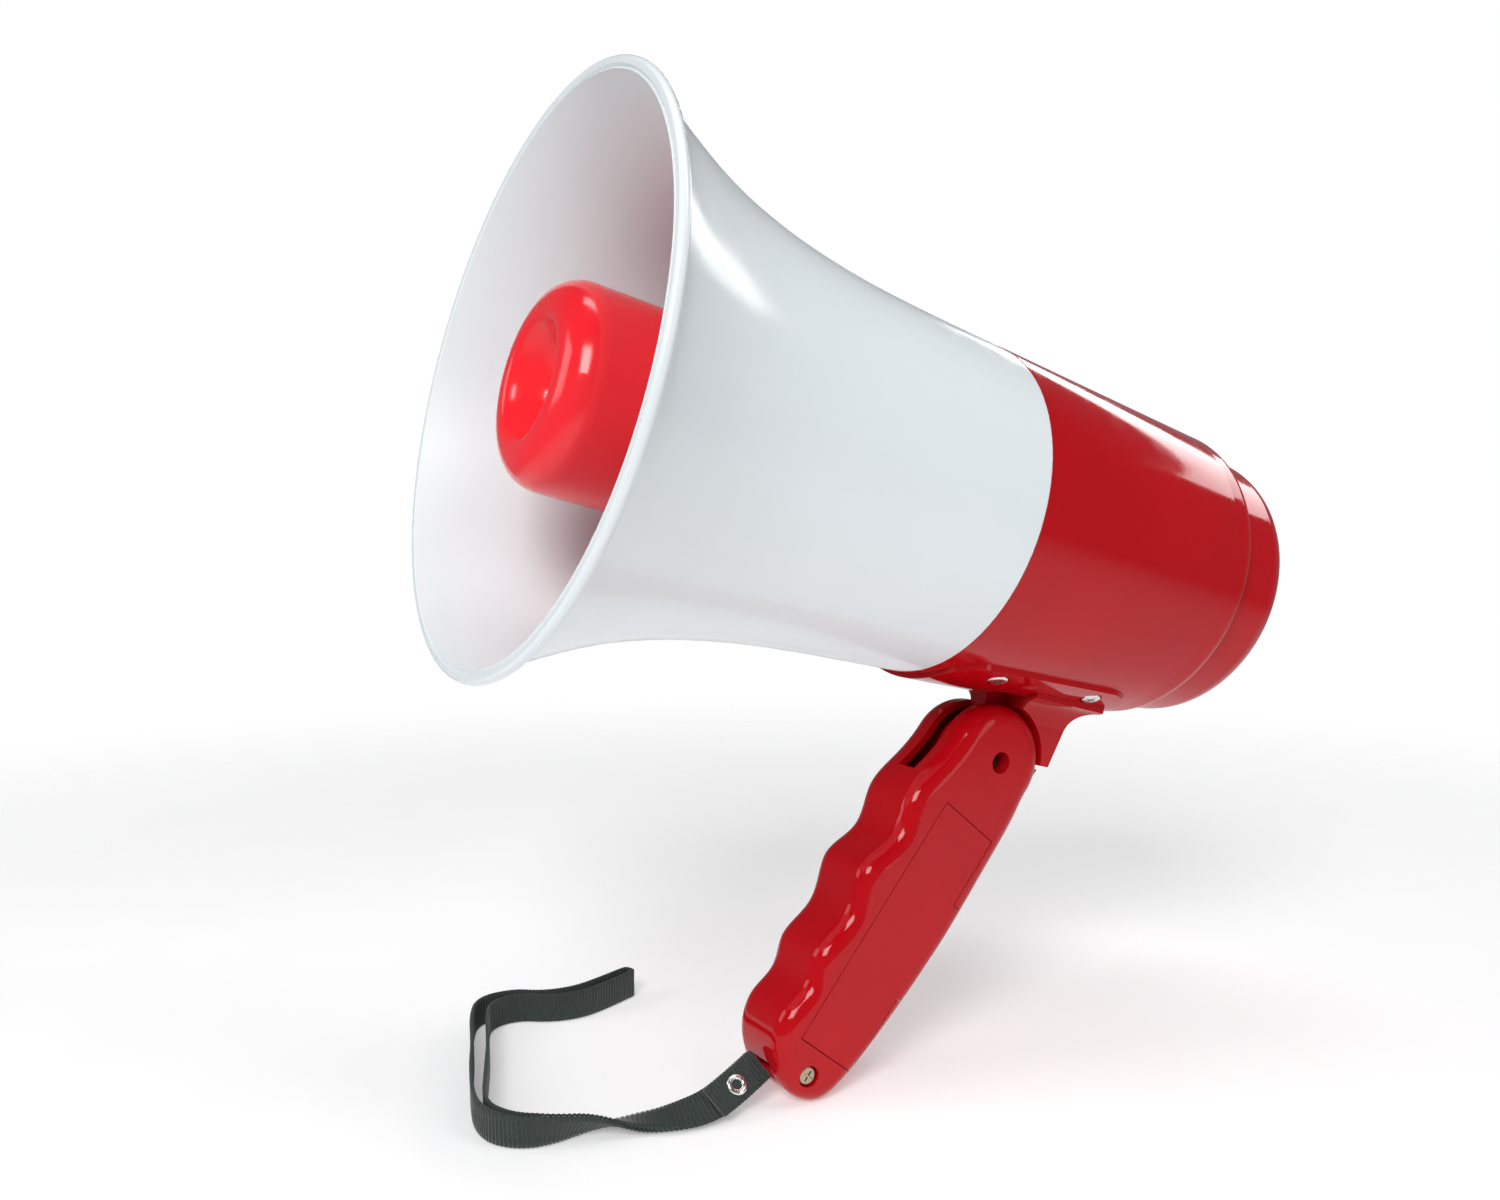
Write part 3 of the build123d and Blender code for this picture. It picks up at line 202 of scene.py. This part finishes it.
NODE_MATERIALS = {
    SHELL_RED: ["housing_shell", "rear_cover", "saddle_bracket", "handle_shell_right",
                "handle_shell_left", "battery_cover"],
    CUP_RED: ["reflector_cup", "tone_tube"],
    HORN_WHITE: ["horn_bell"],
    BLACK_PLASTIC: ["throat_plate", "driver_frame", "control_panel", "mic_grille", "volume_knob",
                    "button_switches", "charging_jack", "capacitors", "battery_tray", "pivot_washers"],
    BLACK_RUBBER: ["throat_gasket", "mic_boot"],
    GREY_RUBBER: ["talk_button", "record_button", "mode_slider"],
    RED_RUBBER: ["siren_button"],
    FILM: ["driver_diaphragm"],
    COPPER: ["driver_voice_coil"],
    ZINC: ["driver_top_plate", "driver_yoke", "driver_screws", "rear_cover_screws", "volume_shaft",
           "volume_potentiometer", "mode_slide_switch", "pivot_nut", "strap_pin"],
    BRIGHT: ["saddle_screws"],
    YELLOW_ZINC: ["handle_screw"],
    DARK_STEEL: ["pivot_bolt"],
    NICKEL: ["battery_contact_plate", "battery_contact_spring"],
    ALUMINIUM: ["mic_capsule", "heat_sink"],
    FERRITE: ["driver_magnet", "output_transformer"],
    BOARD: ["amplifier_board"],
    LED_GREEN: ["power_led"],
    WIRE_RED: ["speaker_wires"],
    WIRE_BLACK: ["battery_lead"],
    CELL_BLUE: ["battery_cell"],
}


def give_cad_materials():
    for material, names in NODE_MATERIALS.items():
        for name in names:
            for slot in NODES[name].material_slots:
                slot.material = material


# ---- strap ------------------------------------------------------------------------------
STRAP_HALF_WIDTH = 5.0 * MM
STRAP_HALF_THICKNESS = 0.55 * MM
RIB_PITCH = 1.3 * MM
RIB_HEIGHT = 0.32 * MM
RINGS_PER_RIB = 6
EDGE_NOTCH = 0.12 * MM      # how far the selvedge draws in between ribs
FLOOR_GAP = 0.05 * MM
TURN_GAP = 0.05 * MM        # gap between a leg's end and the turn at the far end
EYELET_AT = 10.5 * MM       # along the inner leg from the handle
EYELET_TURNS = 48
# Section of the eyelet in mm, as distance from its axis and height over the inner leg's middle
EYELET_PROFILE = [(1.35, -2.4), (1.35, 1.8), (1.5, 2.35), (2.0, 2.75), (2.6, 2.8), (3.1, 2.5),
                  (3.35, 2.0), (3.2, 1.8), (2.05, 1.7), (2.0, -2.2), (2.9, -2.2), (3.05, -2.4),
                  (2.9, -2.7), (2.0, -2.95), (1.6, -2.85)]
FLIPPED = 180.0             # lean of the strap once its half twist is done, in degrees

# The legs' routes from the handle to the end of the loop. They twist half a turn on the way, so
# the leg that starts behind ends in front, and lie flat on each other at the middle of the twist.
OUTER_LEG = [(0.0002, -0.0472, 0.0104), (0.0029, -0.0563, 0.0070), (0.0052, -0.0663, 0.0042),
             (0.0033, -0.0762, 0.0028), (-0.0009, -0.0860, 0.0012), (-0.0026, -0.0981, 0.0038),
             (-0.0021, -0.1101, 0.0052), (-0.0070, -0.1208, 0.0052), (-0.0192, -0.1258, 0.0052),
             (-0.0410, -0.1198, 0.0052), (-0.0630, -0.1116, 0.0052), (-0.0810, -0.1062, 0.0052),
             (-0.0956, -0.0990, 0.0052), (-0.0966, -0.0860, 0.0052), (-0.0900, -0.0782, 0.0052),
             (-0.0882, -0.0676, 0.0052), (-0.0916, -0.0566, 0.0052), (-0.0960, -0.0460, 0.0052)]
INNER_LEG = [(0.0012, -0.0470, 0.0112), (0.0039, -0.0559, 0.0078), (0.0062, -0.0659, 0.0050),
             (0.0045, -0.0758, 0.0036), (-0.0009, -0.0860, 0.0025), (-0.0037, -0.0977, 0.0042),
             (-0.0034, -0.1094, 0.0052), (-0.0086, -0.1186, 0.0052), (-0.0194, -0.1234, 0.0052),
             (-0.0396, -0.1156, 0.0052), (-0.0610, -0.1072, 0.0052), (-0.0780, -0.1019, 0.0052),
             (-0.0898, -0.0966, 0.0052), (-0.0919, -0.0860, 0.0052), (-0.0854, -0.0776, 0.0052),
             (-0.0830, -0.0670, 0.0052), (-0.0864, -0.0560, 0.0052), (-0.0918, -0.0446, 0.0052)]
TAIL_END = [(0.0022, -0.0468, 0.0119), (0.0049, -0.0556, 0.0086), (0.0075, -0.0652, 0.0062)]
# Distance along the strap and how far its upper edge has leaned back from upright, in degrees
TWIST = [(0.0, 38.0), (0.012, 42.0), (0.026, 60.0), (0.041, 95.0), (0.056, 138.0), (0.070, 170.0),
         (0.082, FLIPPED)]


def route_line(name, route, step):
    """Points a step apart along the smooth NURBS line of a route."""
    curve = bpy.data.curves.new(name, "CURVE")
    curve.dimensions = "3D"
    curve.resolution_u = 32
    spline = curve.splines.new("NURBS")
    spline.points.add(len(route) - 1)
    for point, place in zip(spline.points, route):
        point.co = (*place, 1.0)
    spline.order_u = 3
    spline.use_endpoint_u = True
    holder = bpy.data.objects.new(name, curve)
    mesh = bpy.data.meshes.new_from_object(holder)
    raw = [vertex.co.copy() for vertex in mesh.vertices]
    bpy.data.objects.remove(holder)
    return even_steps(raw, step)


def even_steps(raw, step):
    """Points of the same line at even distances."""
    total = sum((b - a).length for a, b in zip(raw, raw[1:]))
    count = max(2, round(total / step))
    stations = [total * index / count for index in range(count + 1)]
    points = []
    travelled = 0.0
    leg = 0
    for station in stations:
        while leg < len(raw) - 2 and travelled + (raw[leg + 1] - raw[leg]).length < station:
            travelled += (raw[leg + 1] - raw[leg]).length
            leg += 1
        run = raw[leg + 1] - raw[leg]
        share = (station - travelled) / run.length if run.length else 0.0
        points.append(raw[leg] + run * min(1.0, share))
    return points


def twist_at(distance):
    """The strap's lean at a distance from the handle, in radians."""
    for (start, low), (end, high) in zip(TWIST, TWIST[1:]):
        if distance <= end:
            share = (distance - start) / (end - start)
            return math.radians(low + (high - low) * share)
    return math.radians(TWIST[-1][1])


def webbing_frame(points, index, lean):
    """Width direction and face direction of the strap at a point."""
    before = points[max(index - 1, 0)]
    after = points[min(index + 1, len(points) - 1)]
    along = (after - before).normalized()
    side = Vector((0, 0, 1)).cross(along).normalized()
    up = along.cross(side).normalized()
    width = up * math.cos(lean) - side * math.sin(lean)
    return width, along.cross(width).normalized()


def section_outline():
    """Rounded flat section as shares of its half width and half thickness, (across, through)."""
    steps = (-0.94, -0.6, -0.2, 0.2, 0.6, 0.94)
    lower = [(across, -1.0) for across in steps]
    upper = [(-across, 1.0) for across in steps]
    return lower + [(1.0, 0.0)] + upper + [(-1.0, 0.0)]


def webbing(name, route, twisted=True):
    """Ribbed strap along a route. Returns the object and its centreline."""
    points = route_line(name + "_line", route, RIB_PITCH / RINGS_PER_RIB)
    outline = section_outline()
    vertices = []
    centres = []
    step = (points[1] - points[0]).length
    for index, centre in enumerate(points):
        distance = index * step
        lean = twist_at(distance) if twisted else math.radians(FLIPPED)
        width, face = webbing_frame(points, index, lean)
        rib = abs(math.sin(math.pi * distance / RIB_PITCH))
        half_width = STRAP_HALF_WIDTH - EDGE_NOTCH * (1.0 - rib)
        half_thickness = STRAP_HALF_THICKNESS - RIB_HEIGHT * (1.0 - rib)
        lowest = centre.z - abs(width.z) * STRAP_HALF_WIDTH - abs(face.z) * STRAP_HALF_THICKNESS
        centre = centre + Vector((0, 0, max(0.0, FLOOR_GAP - lowest)))
        centres.append(centre)
        for across, through in outline:
            vertices.append(centre + width * (across * half_width) + face * (through * half_thickness))
    count = len(outline)
    faces = []
    for ring in range(len(points) - 1):
        for corner in range(count):
            a = ring * count + corner
            b = ring * count + (corner + 1) % count
            faces.append((a, a + count, b + count, b))
    faces.append(tuple(range(count)))
    last = (len(points) - 1) * count
    faces.append(tuple(last + corner for corner in reversed(range(count))))
    return add_mesh(name, vertices, faces, WEBBING), centres


def add_mesh(name, vertices, faces, material, smooth=True):
    mesh = bpy.data.meshes.new(name)
    mesh.from_pydata([tuple(vertex) for vertex in vertices], [], faces)
    mesh.validate()
    mesh.materials.append(material)
    for polygon in mesh.polygons:
        polygon.use_smooth = smooth
    piece = bpy.data.objects.new(name, mesh)
    scene.collection.objects.link(piece)
    return piece


def fabric(name, colour):
    """Dark ribbed ribbon with a fine weave and a shader sheen; its colour is painted lighter on the high
    threads as a painted highlight and darker on the low threads as painted shade.
    """
    material = bpy.data.materials.new(name)
    material.use_nodes = True
    tree = material.node_tree
    shader = tree.nodes["Principled BSDF"]
    shader.inputs["Roughness"].default_value = 0.72
    shader.inputs["Sheen Weight"].default_value = 0.35
    shader.inputs["Sheen Roughness"].default_value = 0.4
    shader.inputs["Specular IOR Level"].default_value = 0.3
    thread_height_and_painted_light = noise(tree, 3000.0, 4.0)
    # Colour follows the bump's height noise: painted highlight on the high threads, painted shade on the
    # low ones.
    tint = ramp(tree, thread_height_and_painted_light, [(0.3, shade(colour, 0.55)), (0.75, shade(colour, 1.7))])
    link(tree, tint, "Color", shader, "Base Color")
    bump = new_node(tree, "ShaderNodeBump")
    bump.inputs["Strength"].default_value = 0.5
    bump.inputs["Distance"].default_value = 0.12 * MM
    link(tree, thread_height_and_painted_light, "Fac", bump, "Height")
    link(tree, bump, "Normal", shader, "Normal")
    return material


WEBBING = fabric("webbing_grosgrain", (0.030, 0.040, 0.036))


def line_length(points):
    return sum((b - a).length for a, b in zip(points, points[1:]))


def loop_end(outer, inner):
    """Half turn of webbing that joins the ends of the two legs."""
    start = outer[-1]
    end = inner[-1]
    middle = (start + end) / 2
    across = (end - start) / 2
    ahead = Vector((0, 0, 1)).cross(across)
    tip = middle + ahead * 1.35
    route = [start + ahead.normalized() * TURN_GAP, start + ahead * 1.1, tip - across * 0.35,
             tip + across * 0.35, end + ahead * 1.1, end + ahead.normalized() * TURN_GAP]
    return webbing("strap_loop_turn", [tuple(point) for point in route], twisted=False)[0]


def eyelet_at(points, distance):
    """Rolled metal eyelet through the strap's layers."""
    index = next(i for i, _ in enumerate(points) if line_length(points[:i + 1]) >= distance)
    width, face = webbing_frame(points, index, twist_at(distance))
    centre = points[index]
    along = width.cross(face)
    vertices = []
    for turn in range(EYELET_TURNS):
        angle = 2 * math.pi * turn / EYELET_TURNS
        spoke = width * math.cos(angle) + along * math.sin(angle)
        for radius, height in EYELET_PROFILE:
            vertices.append(centre + spoke * (radius * MM) - face * (height * MM))
    count = len(EYELET_PROFILE)
    faces = []
    for turn in range(EYELET_TURNS):
        for corner in range(count):
            a = turn * count + corner
            b = turn * count + (corner + 1) % count
            c = ((turn + 1) % EYELET_TURNS) * count
            faces.append((a, b, c + (corner + 1) % count, c + corner))
    return add_mesh("strap_eyelet_ring", vertices, faces, NICKEL)


def add_strap():
    outer, outer_line = webbing("strap_outer_webbing", OUTER_LEG)
    inner, inner_line = webbing("strap_inner_webbing", INNER_LEG)
    tail = webbing("strap_tail_webbing", TAIL_END)[0]
    turn = loop_end(outer_line, inner_line)
    eyelet = eyelet_at(inner_line, EYELET_AT)
    for piece in (outer, inner, tail, turn, eyelet):
        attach(piece, "strap")
    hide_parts("strap_outer_leg")
    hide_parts("strap_inner_leg")
    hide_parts("strap_tail")
    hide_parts("strap_loop_end")
    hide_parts("strap_eyelet")
    for slot in NODES["strap_anchor_loop"].material_slots:
        slot.material = WEBBING


# ---- stage ------------------------------------------------------------------------------
FLOOR_RADIUS = 0.85
FLOOR_PLAIN = 0.26          # the paper is opaque out to here and fades into the backdrop beyond
FLOOR_TURNS = 96


def add_floor():
    """Sheet of white paper that fades out into the white backdrop."""
    vertices = [(0, 0, 0)]
    for turn in range(FLOOR_TURNS):
        angle = 2 * math.pi * turn / FLOOR_TURNS
        vertices.append((FLOOR_RADIUS * math.cos(angle), FLOOR_RADIUS * math.sin(angle), 0))
    faces = [(0, turn + 1, (turn + 1) % FLOOR_TURNS + 1) for turn in range(FLOOR_TURNS)]
    paper = surface("floor_paper", (0.86, 0.86, 0.86), (0.7, 0.8), vary=0.01, specular=0.1)
    tree = paper.node_tree
    shader = tree.nodes["Principled BSDF"]
    shader.inputs["Emission Color"].default_value = (1.0, 1.0, 1.0, 1.0)
    shader.inputs["Emission Strength"].default_value = 0.29
    place = new_node(tree, "ShaderNodeTexCoord")
    reach = new_node(tree, "ShaderNodeVectorMath", operation="LENGTH")
    link(tree, place, "Object", reach, "Vector")
    fade = new_node(tree, "ShaderNodeMapRange", interpolation_type="SMOOTHSTEP")
    fade.inputs["From Min"].default_value = FLOOR_PLAIN
    fade.inputs["From Max"].default_value = FLOOR_RADIUS
    fade.inputs["To Min"].default_value = 1.0
    fade.inputs["To Max"].default_value = 0.0
    link(tree, reach, "Value", fade, "Value")
    link(tree, fade, "Result", shader, "Alpha")
    add_mesh("floor", vertices, faces, paper, False)


def add_area(name, place, target, size, power):
    data = bpy.data.lights.new(name, "AREA")
    data.shape = "RECTANGLE"
    data.size, data.size_y = size
    data.energy = power
    lamp = bpy.data.objects.new(name, data)
    lamp.location = place
    lamp.rotation_mode = "QUATERNION"
    lamp.rotation_quaternion = (Vector(target) - Vector(place)).to_track_quat("-Z", "Y")
    scene.collection.objects.link(lamp)


ROOM_BY_HEIGHT = [(0.0, (0.26, 0.26, 0.27)), (0.35, (0.18, 0.18, 0.19)), (0.8, (0.06, 0.06, 0.07))]


def add_world():
    """White backdrop to the eye; a dimmer room, darker overhead, for light and reflections."""
    world = bpy.data.worlds.new("studio")
    world.use_nodes = True
    scene.world = world
    tree = world.node_tree
    place = new_node(tree, "ShaderNodeTexCoord")
    split = new_node(tree, "ShaderNodeSeparateXYZ")
    link(tree, place, "Generated", split, "Vector")
    room = ramp(tree, split, ROOM_BY_HEIGHT, "Z")
    dim = tree.nodes["Background"]
    link(tree, room, "Color", dim, "Color")
    white = new_node(tree, "ShaderNodeBackground")
    seen = new_node(tree, "ShaderNodeLightPath")
    choose = new_node(tree, "ShaderNodeMixShader")
    link(tree, seen, "Is Camera Ray", choose, "Fac")
    link(tree, dim, "Background", choose, 1)
    link(tree, white, "Background", choose, 2)
    white.inputs["Color"].default_value = (1.0, 1.0, 1.0, 1.0)
    link(tree, choose, "Shader", tree.nodes["World Output"], "Surface")


def add_lights():
    """Soft boxes: the key over the camera's left shoulder, then front, overhead, rear strip and side."""
    middle = (0.0, 0.0, 0.12)
    add_area("key_box", (0.80, -0.84, 0.92), middle, (0.55, 0.55), 12.5)
    add_area("front_box", (-0.45, -1.20, 0.75), middle, (0.6, 0.6), 3.4)
    add_area("top_box", (0.20, 0.15, 1.15), middle, (0.20, 1.3), 5.0)
    add_area("rear_strip", (-0.30, 1.15, 0.72), middle, (1.1, 0.13), 2.2)
    add_area("side_box", (1.25, 0.75, 0.35), middle, (0.30, 0.9), 1.5)


add_camera()
give_cad_materials()
add_strap()
add_floor()
add_world()
add_lights()
scene.view_settings.view_transform = "Standard"
